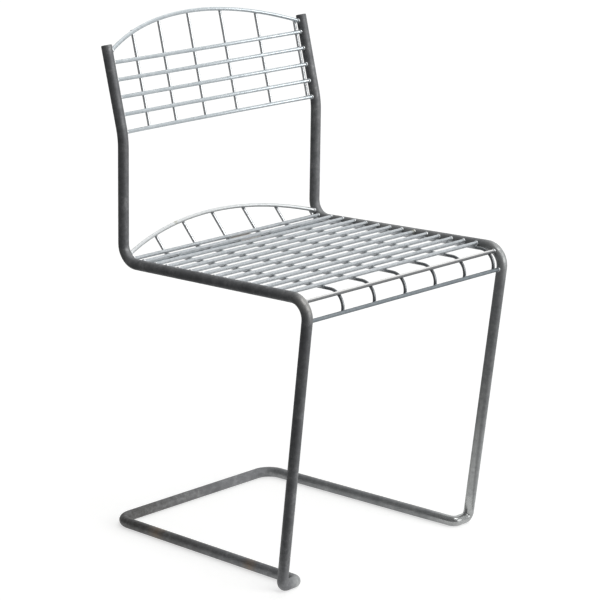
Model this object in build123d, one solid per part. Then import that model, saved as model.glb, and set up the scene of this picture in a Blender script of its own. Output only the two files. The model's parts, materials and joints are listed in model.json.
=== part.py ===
from build123d import *
import os
from math import cos, radians, sin, sqrt, tan

# A cantilever chair of galvanised steel: one bent round bar carries a seat and a back of welded wire.
# Millimetres. The front faces -Y and +Z is up. While it is drawn, y is measured back from the heel bar
# and z up from the floor; at the end the chair is centred over its origin.

# Stock
BAR_DIAMETER = 16.5
CROSS_WIRE_DIAMETER = 6.0
LONG_WIRE_DIAMETER = 5.0

# Frame bar, from centre line to centre line
BACK_WIDTH = 425.0
SEAT_FRONT_WIDTH = 440.0
FOOT_WIDTH = 429.0
FOOT_INSET = 33.5
HEEL_TAPER = 8.7
SEAT_REAR_HEIGHT = 444.7
SEAT_FRONT_HEIGHT = 454.2
SEAT_DEPTH = 389.0
HEEL_BEHIND_SEAT = 66.6
FOOT_SETBACK = 58.8
KINK_RISE = 191.0
KINK_FORWARD = 3.8
BACK_LEAN = 13.8
BACK_LENGTH = 140.5

# Bends of the bar, as radii of its centre line
KINK_BEND = 120.0
SEAT_REAR_BEND = 28.0
SEAT_FRONT_BEND = 28.0
HEEL_BEND = 27.0
FOOT_BEND_SHARE = 0.28
BAR_END_ROUNDING = 1.5

# Seat wires
SEAT_WIRE_PITCH = 25.0
FIRST_WIRE_AHEAD = 15.0
GRID_ABOVE_REAR = 6.2
GRID_ABOVE_FRONT = 1.9
LAST_WIRE_GAP = 30.0
LONG_WIRE_COUNT = 7
LONG_WIRE_GAP = 0.3
LONG_WIRE_FRONT_GAP = 3.2
RISER_BEHIND = 3.6
RISER_SLOPE = 48.5
RISER_BEND = 8.0
DROP_BEHIND_LEG = 6.8
DROP_BEND = 24.0
DROP_STRAIGHT = 1.2
UPPER_EDGE_ANGLE = 42.0
SEAT_ARCH_END = 12.5
SEAT_ARCH_RISE = 39.0
UNDER_WIRE_AHEAD = 8.1

# Back wires
BACK_WIRE_PITCH = 26.3
BACK_FIRST_WIRE = 7.9
BACK_WIRE_GAP = 12.0
BACK_BOW = 31.0
BACK_ARCH_BELOW_TOP = 9.5
BACK_ARCH_RISE = 42.4

# Bare plate under the rear of the seat
TAG_WIDTH = 42.0
TAG_DEPTH = 30.0
TAG_BEHIND = 4.0
TAG_THICKNESS = 1.0
TAG_SIDE_GAP = 1.0

# Wires stop short of the bar's centre line and are cut to its surface. The ends of the long wires run
# a little past the wires that they are welded to.
WIRE_END_DEPTH = 2.0
LONG_WIRE_OVERRUN = 2.0

bar_radius = BAR_DIAMETER / 2
cross_radius = CROSS_WIRE_DIAMETER / 2
long_radius = LONG_WIRE_DIAMETER / 2
contact = cross_radius + long_radius

# Corners of the frame in side view
seat_rear = Vector(0, -HEEL_BEHIND_SEAT, SEAT_REAR_HEIGHT)
seat_front = Vector(0, -HEEL_BEHIND_SEAT - SEAT_DEPTH, SEAT_FRONT_HEIGHT)
kink = seat_rear + Vector(0, -KINK_FORWARD, KINK_RISE)
up_back = Vector(0, sin(radians(BACK_LEAN)), cos(radians(BACK_LEAN)))
behind_back = Vector(0, cos(radians(BACK_LEAN)), -sin(radians(BACK_LEAN)))
foot = Vector(0, seat_front.Y + FOOT_SETBACK, bar_radius)
heel = Vector(0, 0, bar_radius)
down_leg = (foot - seat_front).normalized()

# The plane of the seat's cross wires, set by its height above the rails at the rear and at the front
first_wire = seat_rear + Vector(0, -FIRST_WIRE_AHEAD, GRID_ABOVE_REAR)
grid_front = seat_front + Vector(0, 0, GRID_ABOVE_FRONT)
ahead = (grid_front - first_wire).normalized()
above = Vector(0, ahead.Z, -ahead.Y)


def rod(path, diameter):
    """Round stock along a path."""
    section = Plane(origin=path @ 0, z_dir=path % 0) * Circle(diameter / 2)
    return sweep(section, path=path)


def at(x, point):
    """A point of the side view, moved out to x."""
    return Vector(x, point.Y, point.Z)


def grid_point(forward, below=0.0):
    """A point so far ahead of the first cross wire and so far below the cross wires."""
    return first_wire + ahead * forward - above * below


def wire_places(half_span):
    """Evenly spaced x places from one side to the other."""
    pitch = 2 * half_span / (LONG_WIRE_COUNT - 1)
    return [pitch * i - half_span for i in range(LONG_WIRE_COUNT)]


def arc_height(x, half_span, rise):
    """Height at x of a circular arc that is zero at half_span and rise in the middle."""
    radius = (half_span**2 + rise**2) / (2 * rise)
    return sqrt(radius**2 - x**2) - (radius - rise)


def arc_path(ends, lift, half_span, reach):
    """Arc from side to side: on the line through ends at half_span, lifted most in the middle."""
    side_share = arc_height(reach, half_span, lift.length) / lift.length
    side = ends + lift * side_share
    return ThreePointArc(at(-reach, side), ends + lift, at(reach, side))


# Frame bar
foot_bend = FOOT_INSET * FOOT_BEND_SHARE
runner_front = FOOT_WIDTH / 2 - FOOT_INSET
half_corners = [
    at(BACK_WIDTH / 2, kink + up_back * BACK_LENGTH),
    at(BACK_WIDTH / 2, kink),
    at(BACK_WIDTH / 2, seat_rear),
    at(SEAT_FRONT_WIDTH / 2, seat_front),
    at(FOOT_WIDTH / 2, foot),
    at(runner_front, foot),
    at(runner_front - HEEL_TAPER, heel),
]
half_bends = [KINK_BEND, SEAT_REAR_BEND, SEAT_FRONT_BEND, foot_bend, foot_bend, HEEL_BEND]
other_corners = [Vector(-p.X, p.Y, p.Z) for p in reversed(half_corners)]
bar_line = FilletPolyline(*half_corners, *other_corners, radius=half_bends + half_bends[::-1])
frame_bar = rod(bar_line, BAR_DIAMETER)
bar_ends = frame_bar.edges().filter_by(GeomType.CIRCLE).sort_by(Axis.Z)[-2:]
frame_bar = fillet(bar_ends, BAR_END_ROUNDING)
parts = {"frame_bar": frame_bar}


def rail_half_width(y):
    """Half width of the seat rails at y, between their rear and front corners."""
    share = (y - seat_rear.Y) / (seat_front.Y - seat_rear.Y)
    return (BACK_WIDTH + (SEAT_FRONT_WIDTH - BACK_WIDTH) * share) / 2


def straight_cross_wire(point):
    """Straight wire between the seat rails, its ends cut to the bar."""
    reach = rail_half_width(point.Y) - WIRE_END_DEPTH
    return rod(Line(at(-reach, point), at(reach, point)), CROSS_WIRE_DIAMETER) - frame_bar


# Long wires of the seat: up at the rear, along under the cross wires, down at the front. They spread
# a little towards the front, as the rails do.
inner_half = BACK_WIDTH / 2 - bar_radius
rear_places = wire_places(inner_half - LONG_WIRE_GAP - long_radius)
front_places = wire_places(SEAT_FRONT_WIDTH / 2 - bar_radius - LONG_WIRE_FRONT_GAP - long_radius)
up_riser = Vector(0, cos(radians(RISER_SLOPE)), sin(radians(RISER_SLOPE)))
front_of_riser = Vector(0, -sin(radians(RISER_SLOPE)), cos(radians(RISER_SLOPE)))
riser_foot = grid_point(-RISER_BEHIND, contact)
drop_forward = (grid_front - first_wire).length - DROP_BEHIND_LEG
drop_corner = grid_point(drop_forward, contact)
bend_reach = DROP_BEND * tan(radians(ahead.get_angle(down_leg)) / 2)
drop_end = drop_corner + down_leg * (bend_reach + DROP_STRAIGHT)
for number, (x_rear, x_front) in enumerate(zip(rear_places, front_places), 1):
    riser = SEAT_ARCH_END + arc_height(x_rear, inner_half, SEAT_ARCH_RISE) + LONG_WIRE_OVERRUN
    rear_corners = [at(x_rear, p) for p in (riser_foot + up_riser * riser, riser_foot)]
    front_corners = [at(x_front, p) for p in (drop_corner, drop_end + down_leg * LONG_WIRE_OVERRUN)]
    line = FilletPolyline(*rear_corners, *front_corners, radius=[RISER_BEND, DROP_BEND])
    parts[f"seat_long_wire_{number}"] = rod(line, LONG_WIRE_DIAMETER)

# Cross wires of the seat, as many as the flat of the long wires takes
seat_wire_count = int((drop_forward - LAST_WIRE_GAP) / SEAT_WIRE_PITCH) + 1
for number in range(1, seat_wire_count + 1):
    place = grid_point((number - 1) * SEAT_WIRE_PITCH)
    parts[f"seat_cross_wire_{number:02d}"] = straight_cross_wire(place)

# Two wires across the rounded front edge, outside the long wires
drop_centre = drop_corner - ahead * bend_reach - above * DROP_BEND
edge_way = above * cos(radians(UPPER_EDGE_ANGLE)) + ahead * sin(radians(UPPER_EDGE_ANGLE))
front_of_drop = Vector(0, down_leg.Z, -down_leg.Y)
parts["seat_edge_wire_upper"] = straight_cross_wire(drop_centre + edge_way * (DROP_BEND + contact))
parts["seat_edge_wire_lower"] = straight_cross_wire(drop_end + front_of_drop * contact)

# Arched wire at the rear of the seat, on the front of the risers
arch_reach = BACK_WIDTH / 2 - WIRE_END_DEPTH
arch_foot = riser_foot + front_of_riser * contact + up_riser * SEAT_ARCH_END
seat_arch = rod(arc_path(arch_foot, up_riser * SEAT_ARCH_RISE, inner_half, arch_reach), CROSS_WIRE_DIAMETER)
parts["seat_rear_arch_wire"] = seat_arch - frame_bar

# One more wire across, below the long wires
parts["seat_under_wire"] = straight_cross_wire(grid_point(UNDER_WIRE_AHEAD, 2 * contact))

# Cross wires of the back, bowed to the rear
arch_height = BACK_LENGTH - BACK_ARCH_BELOW_TOP
back_wire_count = int((arch_height - BACK_FIRST_WIRE - BACK_WIRE_GAP) / BACK_WIRE_PITCH) + 1
for number in range(1, back_wire_count + 1):
    height = BACK_FIRST_WIRE + (number - 1) * BACK_WIRE_PITCH
    line = arc_path(kink + up_back * height, behind_back * BACK_BOW, inner_half, arch_reach)
    parts[f"back_cross_wire_{number}"] = rod(line, CROSS_WIRE_DIAMETER) - frame_bar

# Arched top wire of the back, bowed like the wires below it
arch_lift = up_back * BACK_ARCH_RISE + behind_back * BACK_BOW
arch_line = arc_path(kink + up_back * arch_height, arch_lift, inner_half, arch_reach)
back_arch = rod(arch_line, CROSS_WIRE_DIAMETER) - frame_bar
parts["back_arch_wire"] = back_arch

# Upright wires of the back, behind the cross wires and the arch
bow_radius = (inner_half**2 + BACK_BOW**2) / (2 * BACK_BOW)
for number, x in enumerate(rear_places, 1):
    depth = sqrt((bow_radius + contact) ** 2 - x**2) - (bow_radius - BACK_BOW)
    arch_share = arc_height(x, inner_half, arch_lift.length) / arch_lift.length
    low = BACK_FIRST_WIRE - LONG_WIRE_OVERRUN
    high = arch_height + BACK_ARCH_RISE * arch_share + LONG_WIRE_OVERRUN
    ends = [at(x, kink + behind_back * depth + up_back * h) for h in (low, high)]
    parts[f"back_upright_wire_{number}"] = rod(Line(*ends), LONG_WIRE_DIAMETER) - back_arch

# Bare plate against the undersides of the first two cross wires, beside the middle long wire
tag_left = rear_places[LONG_WIRE_COUNT // 2] + long_radius + TAG_SIDE_GAP
tag_middle = grid_point(TAG_DEPTH / 2 - TAG_BEHIND, cross_radius + TAG_THICKNESS / 2)
tag_plane = Plane(origin=at(tag_left + TAG_WIDTH / 2, tag_middle), x_dir=(1, 0, 0), z_dir=above)
parts["tag_plate"] = tag_plane * Box(TAG_WIDTH, TAG_DEPTH, TAG_THICKNESS)

# Centre the chair over its origin and write each piece
box = Compound(list(parts.values())).bounding_box()
to_origin = Pos(-box.center().X, -box.center().Y, -box.min.Z)
os.makedirs("parts", exist_ok=True)
for name, piece in parts.items():
    placed = to_origin * piece
    placed.label = name
    export_step(placed, f"parts/{name}.step")
print(len(parts), "pieces,", "box", box.size)
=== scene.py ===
# %% [markdown]
# # A galvanised chair of bent bar and welded wire
# The chair is one bent round bar with a seat and a back of straight and arched wires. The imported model
# already holds every bar and wire at its true size, so this lesson adds what a picture needs: the zinc
# finishes, the small welds that hold the wires, a floor, soft light and a camera. Everything is in metres.

import json
from math import cos, pi, radians, sin

import bpy
import numpy as np
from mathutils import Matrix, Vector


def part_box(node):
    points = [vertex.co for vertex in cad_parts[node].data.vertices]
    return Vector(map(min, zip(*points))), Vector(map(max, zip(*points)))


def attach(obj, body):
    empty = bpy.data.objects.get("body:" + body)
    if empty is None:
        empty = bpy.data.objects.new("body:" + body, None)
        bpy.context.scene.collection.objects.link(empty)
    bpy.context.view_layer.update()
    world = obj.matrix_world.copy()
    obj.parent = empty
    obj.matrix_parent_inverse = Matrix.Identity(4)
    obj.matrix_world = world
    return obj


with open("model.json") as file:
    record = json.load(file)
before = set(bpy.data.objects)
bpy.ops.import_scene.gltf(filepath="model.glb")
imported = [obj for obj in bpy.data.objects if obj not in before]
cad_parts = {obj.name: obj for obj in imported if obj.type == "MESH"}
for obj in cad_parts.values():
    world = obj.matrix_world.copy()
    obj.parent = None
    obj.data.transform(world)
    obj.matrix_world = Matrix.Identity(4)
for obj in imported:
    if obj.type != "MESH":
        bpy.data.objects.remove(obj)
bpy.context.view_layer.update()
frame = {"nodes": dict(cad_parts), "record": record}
nodes = frame["nodes"]

# %% [markdown]
# ## Small tools
# Colours are easiest to pick as they look on a screen, so they are written as hex values and one function
# turns them into the linear numbers that the renderer works with. A second function adds a shader node,
# sets its options and makes its links, so that a material reads as a list of steps. In a Mix node for
# colours, input 0 is the share, inputs 6 and 7 are the two colours, and output 2 is the result. A Map Range
# node turns one range of values into another, and an end that isn't given is 0 or 1.

# %% Colours and shader nodes
MM = 0.001


def linear(hex_colour):
    """Screen colour to linear light: v/12.92 near black, ((v + 0.055)/1.055)^2.4 above it."""
    v = np.array([int(hex_colour[i : i + 2], 16) for i in (1, 3, 5)]) / 255
    return (*np.where(v <= 0.04045, v / 12.92, ((v + 0.055) / 1.055) ** 2.4), 1.0)


def add_node(tree, kind, inputs=None, **options):
    """Add one node, set its options, and fill its inputs: a socket is linked, a value is set."""
    node = tree.nodes.new(kind)
    for name, value in options.items():
        setattr(node, name, value)
    for name, value in (inputs or {}).items():
        if isinstance(value, bpy.types.NodeSocket):
            tree.links.new(value, node.inputs[name])
        else:
            node.inputs[name].default_value = value
    return node


def new_material(name):
    """An empty node material, and its tree."""
    material = bpy.data.materials.new(name)
    material.use_nodes = True
    material.node_tree.nodes.clear()
    return material, material.node_tree


def ramp_colours(node, stops):
    """Give a colour ramp its stops: pairs of a place from 0 to 1 and a hex colour."""
    elements = node.color_ramp.elements
    while len(elements) < len(stops):
        elements.new(0.5)
    for element, (place, colour) in zip(elements, stops):
        element.position = place
        element.color = linear(colour)


print("grey #808080 is", round(float(linear("#808080")[0]), 3), "in linear light")

# %% [markdown]
# ## Hot-dip galvanised bar
# The frame was bent from plain steel bar and then dipped in molten zinc. Weathered zinc is a dull grey metal.
# The dip leaves crystals a few millimetres wide, cloudy patches a few centimetres long where it ran off, and
# a fine grain. A flat pattern could be wrapped round the bar, but it would stretch at the bends. A pattern
# that is worked out from each point's place in space doesn't. Three such patterns, of those three sizes, are
# added up and drive one ramp of greys, so that no single one of them can be picked out.

# %% Bar finish
CLOUD = 34 * MM
CRYSTAL = 5 * MM
# The real grain is a few tenths of a millimetre. It is drawn this coarse so that it shows.
GRAIN = 2 * MM
CRYSTAL_SHARE = 0.14
GRAIN_SHARE = 0.4
BAR_GREYS = [(0.5, "#6a6b6d"), (0.75, "#7a7b7d"), (0.88, "#88898a"), (1.0, "#9c9d9e")]

# To the eye: dull, faintly mottled grey metal, with broad soft highlights along the bar.
bar_finish, tree = new_material("hot_dip_galvanised_bar")
place = add_node(tree, "ShaderNodeTexCoord").outputs["Object"]
clouds = add_node(
    tree, "ShaderNodeTexNoise", {"Vector": place, "Scale": 1 / CLOUD, "Detail": 5.0, "Roughness": 0.62}
)
cells = add_node(tree, "ShaderNodeTexVoronoi", {"Vector": place, "Scale": 1 / CRYSTAL})
crystals = add_node(tree, "ShaderNodeSeparateColor", {"Color": cells.outputs["Color"]})
grains = add_node(
    tree, "ShaderNodeTexNoise", {"Vector": place, "Scale": 1 / GRAIN, "Detail": 3.0, "Roughness": 0.7}
)
pattern = clouds.outputs["Fac"]
for finer, share in [(crystals.outputs["Red"], CRYSTAL_SHARE), (grains.outputs["Fac"], GRAIN_SHARE)]:
    total = add_node(tree, "ShaderNodeMath", {0: finer, 1: share, 2: pattern}, operation="MULTIPLY_ADD")
    pattern = total.outputs[0]
greys = add_node(tree, "ShaderNodeValToRGB", {"Fac": pattern})
ramp_colours(greys, BAR_GREYS)
print("bar finish: clouds", CLOUD / MM, "mm, crystals", CRYSTAL / MM, "mm, grain", GRAIN / MM, "mm")

# %% [markdown]
# The bar isn't one grey all over. Lighter patches are painted highlights on the bends at the front of the seat
# and on both feet, and painted light low on one leg. The +X side of the frame is a little paler all along, as
# painted light from that side, and the heel corner on the other side is dark and warm, as painted shade. The
# runner beside it has two faint brown stains. Such marks could be painted onto a texture, but each is only a
# soft round patch, so it is enough to say where it is: a colour, a point of the bar and a radius.

# %% Patches on the bar
# Colours of the patches: painted highlights, painted light and painted shade, and real brown stains.
FOOT_HIGHLIGHT_ZINC = "#aaacaa"
BEND_HIGHLIGHT_ZINC = "#c6c4bf"
PAINTED_LIGHT_ZINC = "#bec0bf"
LIT_SIDE_ZINC = "#a4a6a6"
SHADED_HEEL_ZINC = "#52504d"
BROWN_STAIN = "#88796a"
PATCHES = [
    # painted highlights on the two bends at the front of the seat
    (PAINTED_LIGHT_ZINC, (0.217, -0.228, 0.448), 0.06),
    (BEND_HIGHLIGHT_ZINC, (-0.211, -0.225, 0.449), 0.032),
    # painted highlights on the two feet, and painted light on the lower part of one leg
    (FOOT_HIGHLIGHT_ZINC, (0.196, -0.17, 0.016), 0.055),
    (PAINTED_LIGHT_ZINC, (-0.181, -0.178, 0.01), 0.028),
    (PAINTED_LIGHT_ZINC, (0.214, -0.183, 0.1), 0.15),
    # painted light on the +X side, and painted shade on the heel corner on the other side
    (LIT_SIDE_ZINC, (0.25, 0.0, 0.25), 0.48),
    (SHADED_HEEL_ZINC, (-0.17, 0.2, 0.008), 0.32),
    # the stains on one runner
    (BROWN_STAIN, (-0.174, 0.13, 0.012), 0.026),
    (BROWN_STAIN, (-0.186, -0.077, 0.012), 0.02),
]
print(len(PATCHES), "patches on the bar")

# %% [markdown]
# The patches are laid over the greys one after the other. A patch is strongest at its point and fades out
# towards its radius. That alone would show as a round blot, so flecks a few millimetres wide break it up.

# %% Lay the patches over the greys
FLECK = 6 * MM
FLECK_LOW, FLECK_HIGH = 0.3, 0.7
LEAST_COVER = 0.35


def nearness(tree, place, centre, radius, falloff="LINEAR"):
    """1 at the centre, falling with the distance to 0 at the radius, evenly or in a smooth step."""
    reach = add_node(tree, "ShaderNodeVectorMath", {0: place, 1: centre}, operation="DISTANCE")
    fade = add_node(
        tree,
        "ShaderNodeMapRange",
        {"Value": reach.outputs["Value"], "From Max": radius, "To Min": 1.0, "To Max": 0.0},
        interpolation_type=falloff,
    )
    return fade.outputs[0]


flecks = add_node(
    tree, "ShaderNodeTexNoise", {"Vector": place, "Scale": 1 / FLECK, "Detail": 4.0, "Roughness": 0.6}
)
cover = add_node(
    tree,
    "ShaderNodeMapRange",
    {"Value": flecks.outputs["Fac"], "From Min": FLECK_LOW, "From Max": FLECK_HIGH, "To Min": LEAST_COVER},
)
colour = greys.outputs["Color"]
for patch_colour, centre, radius in PATCHES:
    fade = nearness(tree, place, centre, radius, "SMOOTHSTEP")
    share = add_node(tree, "ShaderNodeMath", {0: fade, 1: cover.outputs[0]}, operation="MULTIPLY")
    layer = {0: share.outputs[0], 6: colour, 7: linear(patch_colour)}
    colour = add_node(tree, "ShaderNodeMix", layer, data_type="RGBA").outputs[2]
print("flecks of", FLECK / MM, "mm leave at least", LEAST_COVER, "of a patch")

# %% [markdown]
# Weathered zinc has a dull skin. The roughness could be a pattern of its own, but it is read from the colour,
# so that the lighter places, which are mostly painted highlights and painted light, are also the smoother ones.
# One foot has been scraped over the floor until it shines: around it the roughness falls further, and the lower
# one of the two counts. The same pattern that colours the zinc also lifts it by a fraction of a millimetre.

# %% Gloss and relief of the bar
# Two brightnesses of the zinc in linear light, and then roughnesses.
DARK_LEVEL, LIGHT_LEVEL = 0.26, 0.5
DULL, SMOOTH = 0.58, 0.34
POLISHED, UNPOLISHED = 0.23, 0.6
POLISHED_FOOT = (0.196, -0.17, 0.012)
POLISHED_REACH, POLISH_END = 0.03, 0.07
BAR_METAL = 0.75
BAR_RELIEF = 0.4 * MM
BAR_RELIEF_SHARE = 0.16

skin = add_node(
    tree,
    "ShaderNodeMapRange",
    {"Value": colour, "From Min": DARK_LEVEL, "From Max": LIGHT_LEVEL, "To Min": DULL, "To Max": SMOOTH},
)
reach = add_node(tree, "ShaderNodeVectorMath", {0: place, 1: POLISHED_FOOT}, operation="DISTANCE")
scraped = add_node(
    tree,
    "ShaderNodeMapRange",
    {
        "Value": reach.outputs["Value"],
        "From Min": POLISHED_REACH,
        "From Max": POLISH_END,
        "To Min": POLISHED,
        "To Max": UNPOLISHED,
    },
)
gloss = add_node(tree, "ShaderNodeMath", {0: skin.outputs[0], 1: scraped.outputs[0]}, operation="MINIMUM")
relief = add_node(
    tree, "ShaderNodeBump", {"Height": pattern, "Strength": BAR_RELIEF_SHARE, "Distance": BAR_RELIEF}
)
surface = add_node(
    tree,
    "ShaderNodeBsdfPrincipled",
    {
        "Base Color": colour,
        "Roughness": gloss.outputs[0],
        "Normal": relief.outputs["Normal"],
        "Metallic": BAR_METAL,
    },
)
add_node(tree, "ShaderNodeOutputMaterial", {"Surface": surface.outputs[0]})
print("bar finish has", len(tree.nodes), "nodes")

# %% [markdown]
# ## Zinc wire
# The wires were drawn through a die before they got their zinc, so they are smoother and brighter than the
# bar. Their zinc has small dull spots and a fine grain, which are added up as on the bar. Many undersides are
# darkened with painted shade. An underside could be a second material on some of the faces, but then its
# border would follow the faces. It is read from the surface's own direction instead, whose z part is below zero
# where it faces down. That gives a soft border that runs along the wire.

# %% Pattern and underside of a wire
SPOT = 7 * MM
# The real grain of drawn wire is some hundredths of a millimetre. It is drawn this coarse so that it shows.
WIRE_GRAIN = 0.9 * MM
WIRE_GRAIN_SHARE = 0.3
# The colour of painted shade on the undersides of the wires, and on the front drop of the seat's long wires.
PAINTED_SHADE_ZINC = "#393f45"


def wire_pattern(tree, place):
    """The noise of the spots, plus a share of the finer noise of the grain."""
    spots = add_node(
        tree, "ShaderNodeTexNoise", {"Vector": place, "Scale": 1 / SPOT, "Detail": 4.0, "Roughness": 0.6}
    )
    grains = add_node(tree, "ShaderNodeTexNoise", {"Vector": place, "Scale": 1 / WIRE_GRAIN, "Detail": 2.0})
    both = {0: grains.outputs["Fac"], 1: WIRE_GRAIN_SHARE, 2: spots.outputs["Fac"]}
    return add_node(tree, "ShaderNodeMath", both, operation="MULTIPLY_ADD").outputs[0]


def painted_shade_below(tree, colour, shade_share, unshaded_z, soft):
    """Painted shade below: none where the normal's z is over the top given, the full share from the top less
    soft down.
    """
    facing = add_node(tree, "ShaderNodeNewGeometry").outputs["Normal"]
    height = add_node(tree, "ShaderNodeSeparateXYZ", {"Vector": facing}).outputs["Z"]
    under = add_node(
        tree,
        "ShaderNodeMapRange",
        {"Value": height, "From Min": unshaded_z - soft, "From Max": unshaded_z, "To Min": shade_share, "To Max": 0.0},
        interpolation_type="SMOOTHSTEP",
    )
    layer = {0: under.outputs[0], 6: colour, 7: linear(PAINTED_SHADE_ZINC)}
    return add_node(tree, "ShaderNodeMix", layer, data_type="RGBA").outputs[2]


print("wire pattern: spots", SPOT / MM, "mm, grain", WIRE_GRAIN / MM, "mm")

# %% [markdown]
# Two of the welds have an olive stain, which is a soft patch as on the bar. The long wires of the seat change
# along their length: washed bright where they rise at the rear, matte where they run under the other wires
# and stay dirty, and darker by painted shade where they drop at the front. They could be cut into pieces with
# a finish each, but a wire is one piece, so its finish is read from the place along y, and changes at the first
# and at the last wire across the seat. The matte part counts as less metallic, because dirt scatters light as
# plaster does.

# %% Stained welds and the long wires of the seat
WELD_STAIN = "#8f8a63"
STAINED_WELDS = [
    # a wire's end on the seat rail, and a crossing on the arched wire at the rear
    ((0.209, -0.053, 0.4545), 9 * MM),
    ((-0.0898, 0.1737, 0.4833), 6 * MM),
]
# The y of the first wire across, at the rear, and of the last one, at the front.
FIRST_WIRE = 143.6 * MM
LAST_WIRE = -181.3 * MM
WIRE_METAL = 0.85
MATTE_METAL = 0.15
# The share of painted shade on the front drop of the long wires.
FRONT_DROP_SHADE = 0.7


def weld_stains(tree, place, colour):
    """Mix the stain over the colour, by the nearness to each stained weld."""
    for centre, radius in STAINED_WELDS:
        layer = {0: nearness(tree, place, centre, radius), 6: colour, 7: linear(WELD_STAIN)}
        colour = add_node(tree, "ShaderNodeMix", layer, data_type="RGBA").outputs[2]
    return colour


def matte_under_seat(tree, place, colour):
    """Colour and metallic share by y: painted shade ahead of the last wire, matte as far as the first, bright
    after.
    """
    y = add_node(tree, "ShaderNodeSeparateXYZ", {"Vector": place}).outputs["Y"]
    front = {"From Min": LAST_WIRE - 6 * MM, "From Max": LAST_WIRE + 2 * MM}
    darkened = {"To Min": FRONT_DROP_SHADE, "To Max": 0.0}
    rear = {"From Min": FIRST_WIRE - 4 * MM, "From Max": FIRST_WIRE + 2 * MM}
    washed = {"To Min": MATTE_METAL, "To Max": WIRE_METAL}
    drop = add_node(tree, "ShaderNodeMapRange", {"Value": y, **front, **darkened}).outputs[0]
    riser = add_node(tree, "ShaderNodeMapRange", {"Value": y, **rear, **washed}).outputs[0]
    metal = add_node(tree, "ShaderNodeMath", {0: drop, 1: riser}, operation="ADD").outputs[0]
    # Painted shade where the long wires drop ahead of the last wire across.
    layer = {0: drop, 6: colour, 7: linear(PAINTED_SHADE_ZINC)}
    return add_node(tree, "ShaderNodeMix", layer, data_type="RGBA").outputs[2], metal


print(len(STAINED_WELDS), "stained welds, matte from y", LAST_WIRE / MM, "to", FIRST_WIRE / MM, "mm")

# %% [markdown]
# A material could be put together anew for every kind of wire, but the wires differ only in how light, how
# rough and how much painted shade they have below, so one function makes them all. As on the bar, the lighter
# spots are also the smoother ones.

# %% A wire finish
DULL_SPOT, BRIGHT_SPOT = 0.45, 0.85
ROUGHER, SMOOTHER = 0.08, 0.05
WIRE_RELIEF = 0.2 * MM
WIRE_RELIEF_SHARE = 0.1


def wire_finish(name, dark, light, roughness, shade_share=0.0, unshaded_z=0.35, soft=0.95, under_seat=False):
    """Zinc between two greys by the wire's pattern, smoother where lighter, painted shade below, stained at
    welds.
    """
    material, tree = new_material(name)
    place = add_node(tree, "ShaderNodeTexCoord").outputs["Object"]
    pattern = wire_pattern(tree, place)
    greys = add_node(tree, "ShaderNodeValToRGB", {"Fac": pattern})
    ramp_colours(greys, [(DULL_SPOT, dark), (BRIGHT_SPOT, light)])
    colour = painted_shade_below(tree, greys.outputs["Color"], shade_share, unshaded_z, soft)
    colour, metal = weld_stains(tree, place, colour), WIRE_METAL
    if under_seat:
        colour, metal = matte_under_seat(tree, place, colour)
    spots = {"From Min": DULL_SPOT, "From Max": BRIGHT_SPOT}
    rough = {"To Min": roughness + ROUGHER, "To Max": roughness - SMOOTHER}
    gloss = add_node(tree, "ShaderNodeMapRange", {"Value": pattern, **spots, **rough})
    relief = add_node(
        tree, "ShaderNodeBump", {"Height": pattern, "Strength": WIRE_RELIEF_SHARE, "Distance": WIRE_RELIEF}
    )
    surface = add_node(
        tree,
        "ShaderNodeBsdfPrincipled",
        {
            "Base Color": colour,
            "Roughness": gloss.outputs[0],
            "Normal": relief.outputs["Normal"],
            "Metallic": metal,
        },
    )
    add_node(tree, "ShaderNodeOutputMaterial", {"Surface": surface.outputs[0]})
    return material


print("dull below", DULL_SPOT, "and bright above", BRIGHT_SPOT, "of the wire's pattern")

# %% [markdown]
# Clean zinc on drawn wire is a light bluish grey with a roughness of about 0.3. Each finish starts from that
# and is then made paler, duller or darker below by painted shade, as the wires of the chair look. The comment
# over each one says what it gives the eye, and which pieces have it.

# %% Wire finishes
# Clean bluish zinc with crisp highlights: the bowed and arched wires of the back.
bright_wire = wire_finish("bright_zinc_wire", "#bdc5c9", "#d7dde0", 0.27)
# Pale zinc, nearly white on top and darkened below by painted shade: the arched wire at the rear of the seat.
pale_wire = wire_finish("pale_zinc_arch_wire", "#dadddd", "#eaecec", 0.36, shade_share=0.8, unshaded_z=0.1)
# Mid grey zinc with softer highlights, a little painted shade below: the wires across the seat.
seat_wire = wire_finish("zinc_seat_wire_shaded_below", "#b5babd", "#ccd0d3", 0.38, shade_share=0.12)
# Thin light wire whose lower half is darkened by painted shade, which reads as a dark line: the upright
# wires of the back.
long_wire = wire_finish("drawn_zinc_long_wire", "#dde0e2", "#ebedee", 0.24, shade_share=0.7, unshaded_z=0.0)
# The same wire, matte under the seat, with painted shade below and on the front drop, so that it shows as
# quiet grey between the wires across.
seat_long_wire = wire_finish(
    "dulled_zinc_long_wire", "#dde0e2", "#ebedee", 0.26, shade_share=0.3, unshaded_z=0.0, under_seat=True
)
# A light top with a sharp border to painted shade below: the upper wire of the front edge.
upper_edge_finish = wire_finish("pale_zinc_edge_wire_shaded_below", "#dedddb", "#ecebea", 0.3, shade_share=0.74, unshaded_z=0.8, soft=0.4)
# Darker and duller grey all round: the lower wire of the front edge, and the wire under the seat, where the
# darker grey is painted shade.
edge_wire = wire_finish("darker_zinc_wire", "#7f868b", "#92999d", 0.42)
# Rough light zinc with hardly a highlight and some painted shade below, so that a lump reads as a soft spot:
# the spot welds.
weld_zinc = wire_finish("zinc_over_weld", "#babfc2", "#dce0e2", 0.5, shade_share=0.4)
# Very light zinc that catches the light, with some painted shade below: the beads at the wire ends.
bead_zinc = wire_finish("bright_zinc_weld_bead", "#e2e6e8", "#f4f6f6", 0.3, shade_share=0.3)
# Warm grey sheet without a clear highlight: the small bare plate under the seat.
tag_sheet = wire_finish("dull_zinc_sheet", "#ddd6cf", "#eee9e3", 0.55)
print("made", bright_wire.name, "to", tag_sheet.name)

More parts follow.
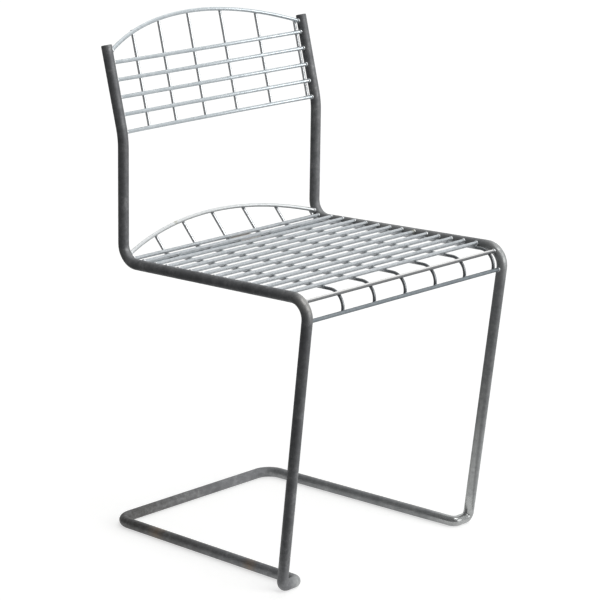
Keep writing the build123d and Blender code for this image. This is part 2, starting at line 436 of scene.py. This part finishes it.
# %% [markdown]
# Each part of the chair gets its finish through its material slot, and its shape is left as it is. The record
# that comes with the model names a slot for every part. A few wires have their own grey, their own painted
# shade or a matte part, and for those a finish of their own goes before that of the slot.

# %% Finish the bars and wires
slot_finish = {
    "galvanised_bar": bar_finish,
    "zinc_wire": bright_wire,
    "seat_wire": seat_wire,
    "long_wire": long_wire,
    "tag_steel": tag_sheet,
}


def named(start):
    """The names of the nodes that start like this, in order."""
    return sorted(n for n in nodes if n.startswith(start))


own_finish = {
    "seat_edge_wire_upper": upper_edge_finish,
    "seat_edge_wire_lower": edge_wire,
    "seat_under_wire": edge_wire,
    "seat_rear_arch_wire": pale_wire,
    **dict.fromkeys(named("seat_long_wire"), seat_long_wire),
}
for part in frame["record"]["subparts"]:
    finish = own_finish.get(part["node"], slot_finish[part["material_slot"]])
    nodes[part["node"]].material_slots[0].material = finish
print("finished", len(nodes), "parts,", len(own_finish), "of them in a finish of their own")

# %% [markdown]
# ## Where the wires meet
# The welds sit where wires cross and where they end on the bar. Their places could be written down as numbers,
# but read from the wires they stay right when a size changes. A straight wire's middle line is read from its
# box. An arched wire runs from its ends to its crown along a circle, so its place at any x follows from its
# box and that circle. The long wires of the seat spread from the rear to the front, so they have two x each.

# %% Middle lines of the wires
CROSS_RADIUS = 3 * MM
LONG_RADIUS = 2.5 * MM


def box_of(node):
    """A node's box as two rows: its lowest and its highest corner."""
    return np.array([tuple(corner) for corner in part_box(node)])


def arch_line(node, x, y_crown, z_crown):
    """Points of an arched wire at x: from the ends' (y, z) towards the crown's, by the circle's share.

    The share is the height of the circle's arc at x over its rise. y_crown and z_crown say whether the
    crown is the high end of the wire's box in y and in z, or the low end.
    """
    low, high = box_of(node) + np.array([[CROSS_RADIUS], [-CROSS_RADIUS]])
    ends = np.array([low[1] if y_crown else high[1], low[2] if z_crown else high[2]])
    crown = np.array([high[1] if y_crown else low[1], high[2] if z_crown else low[2]])
    rise = np.linalg.norm(crown - ends)
    half = high[0] + CROSS_RADIUS
    circle = (half**2 + rise**2) / (2 * rise)
    share = (np.sqrt(circle**2 - x**2) - (circle - rise)) / rise
    yz = ends + share[:, None] * (crown - ends)
    return np.column_stack([x, yz])


seat_long = np.array([box_of(n) for n in named("seat_long_wire")])
sides = np.sign(seat_long.mean(1)[:, 0])
spread = np.abs(seat_long[:, :, 0])
rear_x = sides * (spread.min(1) + LONG_RADIUS)
front_x = sides * (spread.max(1) - LONG_RADIUS)
middle_wire = len(seat_long) // 2
rear_x[middle_wire] = front_x[middle_wire] = 0
print("long wires at x", np.round(rear_x / MM, 1), "to", np.round(front_x / MM, 1), "mm")

# %% [markdown]
# ## New pieces
# The welds are new meshes. Each could be a small mesh that its object moves into place, but a pattern in
# Object coordinates would then start anew on every one. So the points themselves are worked out where they
# belong, and the object stays at the origin, as those of the wires do. A new piece gets its finish and rides
# on the chair's only body.


# %% New pieces
def mesh_piece(name, points, faces, material):
    """A mesh object at the origin, smooth, riding on the chair."""
    mesh = bpy.data.meshes.new(name)
    mesh.from_pydata(points.reshape(-1, 3), [], faces)
    mesh.polygons.foreach_set("use_smooth", np.ones(len(mesh.polygons), bool))
    mesh.materials.append(material)
    piece = bpy.data.objects.new(name, mesh)
    bpy.context.scene.collection.objects.link(piece)
    print(name, "has", len(mesh.polygons), "faces")
    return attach(piece, "root")


# %% [markdown]
# ## Spot welds at the crossings
# Two crossing wires are pressed together and melted by a current, which leaves a small lump of metal around
# the point where they touch. The wires could be melted into each other with a boolean, but that is slow and
# would change their shapes. A lump is enough: a squashed ball, from a grid of angles that gives the points of
# a unit ball, stretched to the lump's half lengths and made slightly uneven. All lumps are worked out
# together, as one array with a row for each.

# %% Lumps
RINGS = 5
LUMP_AROUND = 10
UNEVEN = (0.85, 1.15)


def lump_faces(count):
    """Quads between the rings of each ball, and triangles from its first and last ring to the poles."""
    k = np.arange(LUMP_AROUND)
    k2 = (k + 1) % LUMP_AROUND
    ring = np.arange(RINGS - 1)[:, None] * LUMP_AROUND
    below = ring + LUMP_AROUND
    pole = np.full(LUMP_AROUND, RINGS * LUMP_AROUND)
    walls = np.stack([ring + k, below + k, below + k2, ring + k2], -1).reshape(-1, 4)
    top = np.stack([pole, k, k2], 1)
    bottom = np.stack([pole + 1, below[-1] + k2, below[-1] + k], 1)
    start = np.arange(count)[:, None, None] * (RINGS * LUMP_AROUND + 2)
    faces = []
    for block in (walls, top, bottom):
        faces += (block + start).reshape(-1, block.shape[1]).tolist()
    return faces


def lumps(name, centres, axis, half_lengths, seed):
    """Squashed balls around centres, with half lengths along x, across x and axis, and along axis.

    At tilt t and turn p a unit ball's point is (sin t cos p, sin t sin p, cos t). Each ball's three half
    lengths are made slightly uneven, and the poles close it.
    """
    count = len(centres)
    uneven = np.random.default_rng(seed).uniform(*UNEVEN, (count, 1, 1, 3))
    tilt = np.linspace(0, pi, RINGS + 2)[1:-1, None]
    turn = np.arange(LUMP_AROUND) * 2 * pi / LUMP_AROUND
    ball = np.stack(
        [np.sin(tilt) * np.cos(turn), np.sin(tilt) * np.sin(turn), np.cos(tilt) * np.ones(LUMP_AROUND)], -1
    )
    axis = np.broadcast_to(np.asarray(axis, float), (count, 3))
    across = np.broadcast_to([1.0, 0.0, 0.0], (count, 3))
    axes = np.stack([across, np.cross(axis, across), axis], 1)
    size = ball[None] * uneven * half_lengths
    body = np.einsum("nrak,nkj->nraj", size, axes) + centres[:, None, None]
    poles = np.stack([axis, -axis], 1) * half_lengths[2] + centres[:, None]
    points = np.concatenate([body.reshape(count, -1, 3), poles], 1)
    return mesh_piece(name, points, lump_faces(count), weld_zinc)


print("a lump has", RINGS * LUMP_AROUND + 2, "points")

# %% [markdown]
# On the seat the wires across lie on the long wires, so every lump sits straight below a wire. The wire under
# the seat lies below the long wires, so there the lumps sit on top of it. At each wire across, the x of a long
# wire lies between its rear and its front x, by how far along the seat the wire across is.

# %% Seat crossings
LUMP = np.array([2.9, 2.7, 1.5]) * MM
SMALL_LUMP = np.array([2.1, 1.9, 1.1]) * MM
UP = (0, 0, 1)

cross = np.array([box_of(n).mean(0) for n in named("seat_cross_wire")])
first_y, last_y = cross[0, 1], seat_long[:, 0, 1].min() + LONG_RADIUS
share = (cross[:, 1] - first_y) / (last_y - first_y)
cross_x = rear_x + share[:, None] * (front_x - rear_x)
cross_y, cross_z = (np.broadcast_to(cross[:, i, None], cross_x.shape) for i in (1, 2))
seat_spots = np.stack([cross_x, cross_y, cross_z], -1).reshape(-1, 3) - [0, 0, CROSS_RADIUS]
lumps("seat_spot_welds", seat_spots, UP, SMALL_LUMP, seed=1)

under = box_of("seat_under_wire").mean(0)
under_spots = np.column_stack([rear_x, np.tile(under[1:], (len(rear_x), 1))]) + [0, 0, CROSS_RADIUS]
lumps("under_wire_spot_welds", under_spots, UP, LUMP, seed=2)
print(len(seat_spots) + len(under_spots), "spot welds under the seat")

# %% [markdown]
# At the rounded front edge the two wires lie outside the long wires, and at the rear the arched wire lies in
# front of them. There a lump's short axis points from the long wire to the other one, so each of these places
# has a tilt, counted from straight up towards the front.

# %% Edge and rear crossings
EDGE_TILTS = {"seat_edge_wire_upper": radians(42), "seat_edge_wire_lower": radians(97.5)}
REAR_TILT = radians(48.5)

for seed, (node, tilt) in enumerate(EDGE_TILTS.items(), 3):
    out = np.array([0, -sin(tilt), cos(tilt)])
    middle = box_of(node).mean(0)
    edge_spots = np.column_stack([front_x, np.tile(middle[1:], (len(front_x), 1))]) - out * CROSS_RADIUS
    lumps(node.replace("wire", "spot_welds"), edge_spots, out, LUMP, seed)

rear_out = np.array([0, -sin(REAR_TILT), cos(REAR_TILT)])
rear_spots = arch_line("seat_rear_arch_wire", rear_x, True, True) - rear_out * CROSS_RADIUS
lumps("rear_arch_spot_welds", rear_spots, rear_out, LUMP, seed=5)
print(len(EDGE_TILTS) * len(front_x) + len(rear_spots), "spot welds at the edge and the rear")

# %% [markdown]
# On the back, straight uprights stand behind wires that are bowed to the rear. The uprights lean, and the lean
# of the middle one is read from its box. The lumps lie behind the bowed wires, square to that lean.

# %% Back crossings
uprights = np.array([box_of(n) for n in named("back_upright_wire")])
upright_x = uprights.mean(1)[:, 0]
lean = uprights[middle_wire, 1] - uprights[middle_wire, 0] - 2 * LONG_RADIUS
lean_angle = np.arctan2(lean[1], lean[2])
behind = np.array([0, cos(lean_angle), -sin(lean_angle)])
bowed = [arch_line(n, upright_x, True, False) for n in named("back_cross_wire")]
arched = arch_line("back_arch_wire", upright_x, True, True)
back_spots = np.concatenate([*bowed, arched])
lumps("back_spot_welds", back_spots + behind * CROSS_RADIUS, behind, LUMP, seed=6)
print(len(back_spots), "spot welds on the back, lean", round(float(np.degrees(lean_angle)), 1), "degrees")

# %% [markdown]
# ## Weld beads at the wire ends
# Each cross wire stops against the bar, and a bead runs round it there. A plain ring from Blender's own shapes
# would do, but it would be perfectly even, and a hand weld never is. So the ring is worked out: a small circle
# carried round the wire, whose thickness changes along the way by two slow waves with their own phase for
# each bead.

# %% Beads
BEAD_AROUND = 20
SECTION = 8
BEAD_THICK = 0.85 * MM
BEAD_WIDE = 1.5 * MM
BEAD_LIFT = 0.1 * MM


def ring_faces(count):
    """Quads of the rings, which close on themselves both round the wire and round the section."""
    r, c = np.meshgrid(np.arange(BEAD_AROUND), np.arange(SECTION), indexing="ij")
    row, next_row = r * SECTION, (r + 1) % BEAD_AROUND * SECTION
    c2 = (c + 1) % SECTION
    quads = np.stack([row + c, next_row + c, next_row + c2, row + c2], -1).reshape(-1, 4)
    start = np.arange(count)[:, None, None] * BEAD_AROUND * SECTION
    return (quads + start).reshape(-1, 4).tolist()


def beads(name, centres, wire_radius, seed):
    """Rings around x: at u round the wire and v round the section, radius wire + t(u) cos v, x s(u) sin v.

    t and s are the bead's thickness and width times 1 plus two waves in u. Three phases are drawn for each
    bead, and the waves use the first two.
    """
    phase = np.random.default_rng(seed).uniform(0, 2 * pi, (len(centres), 3, 1))
    u = np.arange(BEAD_AROUND) * 2 * pi / BEAD_AROUND
    v = np.arange(SECTION) * 2 * pi / SECTION
    wave = 1 + 0.22 * np.sin(2 * u + phase[:, 0]) + 0.14 * np.sin(5 * u + phase[:, 1])
    reach = wire_radius + BEAD_LIFT + BEAD_THICK * wave[:, :, None] * np.cos(v)
    along = BEAD_WIDE * wave[:, :, None] * np.sin(v)
    ring = np.stack([along, reach * np.cos(u)[:, None], reach * np.sin(u)[:, None]], -1)
    points = ring + centres[:, None, None]
    return mesh_piece(name, points, ring_faces(len(centres)), bead_zinc)


print("a bead has", BEAD_AROUND * SECTION, "points")

# %% [markdown]
# The wires are cut to the round of the bar, so a wire's end isn't flat and its box doesn't give its middle. The
# middle of an end is taken from the points of the wire's mesh that lie close to that end.

# %% Beads on the wires
END_ZONE = 7 * MM


def end_centres(node):
    """Middle of each end of a wire: of the box round its points within the zone at that end."""
    mesh = nodes[node].data
    flat = np.empty(len(mesh.vertices) * 3, np.float32)
    mesh.vertices.foreach_get("co", flat)
    co = flat.reshape(-1, 3).astype(float)
    x = co[:, 0]
    ends = [co[x < x.min() + END_ZONE], co[x > x.max() - END_ZONE]]
    return np.array([(e.min(0) + e.max(0)) / 2 for e in ends])


ended = named("seat_cross_wire") + named("seat_edge_wire") + named("seat_under_wire")
ended += named("seat_rear_arch") + named("back_cross_wire") + named("back_arch_wire")
bead_centres = np.concatenate([end_centres(n) for n in ended])
beads("wire_end_weld_beads", bead_centres, CROSS_RADIUS, seed=7)
print(len(bead_centres), "weld beads at the bar")

# %% [markdown]
# ## Floor
# The chair stands on a plain white floor that fills the picture and glows faintly, so that only a hint of a
# shadow is left. Near the chair the floor shines back into the zinc, as a white studio table does. Further
# off a studio is dark, and that is what makes the left sides of the bars dark in the picture.

# %% Floor finish
FLOOR_CLOUD = 0.6
FLOOR_GLOW = 0.6

# To the eye: an even white without any highlight.
floor_finish, tree = new_material("pale_matte_floor")
place = add_node(tree, "ShaderNodeTexCoord").outputs["Object"]
clouds = add_node(tree, "ShaderNodeTexNoise", {"Vector": place, "Scale": 1 / FLOOR_CLOUD, "Detail": 3.0})
pale = add_node(tree, "ShaderNodeValToRGB", {"Fac": clouds.outputs["Fac"]})
ramp_colours(pale, [(0.3, "#c4c4c2"), (0.7, "#c6c6c5")])
surface = add_node(
    tree,
    "ShaderNodeBsdfPrincipled",
    {
        "Base Color": pale.outputs["Color"],
        "Roughness": 0.95,
        "Specular IOR Level": 0.1,
        "Emission Color": linear("#ffffff"),
        "Emission Strength": FLOOR_GLOW,
    },
)
add_node(tree, "ShaderNodeOutputMaterial", {"Surface": surface.outputs[0]})
print("floor glows by", FLOOR_GLOW)

# %% [markdown]
# One large floor would light the chair from all around. So there are two flat rings: the near one under the
# chair, and the far one, which the camera sees but which neither lights the chair nor mirrors in it.

# %% Floor
MIDDLE_HOLE = 0.5 * MM
NEAR = 0.32
FAR = 30.0
FLOOR_AROUND = 96


def flat_ring(name, inner, outer):
    """A ring on the floor: circles of the inner and the outer radius, joined by quads."""
    k = np.arange(FLOOR_AROUND)
    k2 = (k + 1) % FLOOR_AROUND
    turn = k * 2 * pi / FLOOR_AROUND
    circle = np.column_stack([np.cos(turn), np.sin(turn), 0 * turn])
    quads = np.column_stack([k, FLOOR_AROUND + k, FLOOR_AROUND + k2, k2])
    mesh = bpy.data.meshes.new(name)
    mesh.from_pydata(np.concatenate([circle * inner, circle * outer]), [], quads.tolist())
    mesh.materials.append(floor_finish)
    ring = bpy.data.objects.new(name, mesh)
    bpy.context.scene.collection.objects.link(ring)
    return ring


flat_ring("near_floor", MIDDLE_HOLE, NEAR)
far_floor = flat_ring("far_floor", NEAR, FAR)
far_floor.visible_glossy = False
far_floor.visible_diffuse = False
print("floor out to", FAR, "m")

# %% [markdown]
# ## Light
# Lamps close by would leave bright and dark places on the floor. A sun has a direction but no place, so suns
# light the whole floor alike, and spread over a wide angle they cast only soft shadows. There are four: one
# low from the front, one high in front, one high on the +X side that draws the bright tops of the wires, and a
# weak one from above and behind.

# %% Suns
SUNS = [
    # name, where the light comes from, spread in degrees, power
    ("front_sun", (0.25, -0.93, 0.3), 44, 1.0),
    ("key_sun", (0.0, -0.42, 0.9), 30, 0.8),
    ("rear_sun", (0.66, 0.2, 0.72), 60, 0.35),
    ("ceiling_sun", (0.0, 0.55, 0.83), 80, 0.15),
]

for name, (x, y, z), spread_degrees, power in SUNS:
    sun = bpy.data.lights.new(name, "SUN")
    sun.angle = radians(spread_degrees)
    sun.energy = power
    lamp = bpy.data.objects.new(name, sun)
    # A lamp shines along its own -Z, so it is turned until its +Z points to where the light comes from.
    lamp.rotation_euler = (np.arctan2(np.hypot(x, y), z), 0, np.arctan2(x, -y))
    bpy.context.scene.collection.objects.link(lamp)
print(len(SUNS), "suns")

# %% [markdown]
# Bare metal shows mostly what stands around it, so the walls matter more than the suns. They are the world's
# background: dim towards -X and lighter towards +X, which gives each bar a dark and a light side. A curve says
# how strongly the wall glows in each direction, from -X at 0 to +X at 1.

# %% Walls
WALL = "#f6f7f8"
WALL_ENDS = [(0.0, 0.18), (1.0, 0.85)]
WALL_BETWEEN = [(0.5, 0.3), (0.84, 0.8)]

world = bpy.data.worlds.new("studio_walls")
world.use_nodes = True
walls = world.node_tree
way = add_node(walls, "ShaderNodeTexCoord").outputs["Object"]
sideways = add_node(walls, "ShaderNodeVectorMath", {0: way, 1: (1.0, 0.0, 0.0)}, operation="DOT_PRODUCT")
from_dim = add_node(
    walls, "ShaderNodeMapRange", {"Value": sideways.outputs["Value"], "From Min": -1.0, "From Max": 1.0}
)
glow = add_node(walls, "ShaderNodeFloatCurve", {"Value": from_dim.outputs[0]})
curve = glow.mapping.curves[0]
for point, location in zip(curve.points, WALL_ENDS):
    point.location = location
for location in WALL_BETWEEN:
    curve.points.new(*location)
glow.mapping.update()
background = walls.nodes["Background"]
background.inputs["Color"].default_value = linear(WALL)
walls.links.new(glow.outputs[0], background.inputs["Strength"])
bpy.context.scene.world = world
bpy.context.scene.view_settings.view_transform = "Standard"
print("walls glow from", WALL_ENDS[0][1], "to", WALL_ENDS[1][1])

# %% [markdown]
# ## Camera
# The camera could be moved about by eye, but here it was worked out from the straight bars of the chair, so
# that each of them runs in the picture as it does on the real one. It stands about 4 m off and looks down a
# little. From there a long lens keeps the near and the far side of the chair nearly alike in size. Its focal
# length is given as a share of the picture's width, and the two angles are in radians.

# %% Camera
SENSOR = 36.0
FOCAL_SHARE = 2705.31 / 600
CAMERA_PLACE = (-2.9403, -2.7457, 1.4114)
LOOK_DOWN = 0.252596
LOOK_TURN = -0.821034

camera_data = bpy.data.cameras.new("camera")
camera_data.sensor_width = SENSOR
camera_data.lens = SENSOR * FOCAL_SHARE
camera = bpy.data.objects.new("camera", camera_data)
camera.location = CAMERA_PLACE
camera.rotation_euler = (pi / 2 - LOOK_DOWN, 0, LOOK_TURN)
bpy.context.scene.collection.objects.link(camera)
bpy.context.scene.camera = camera
print("lens", round(camera_data.lens, 1), "mm")
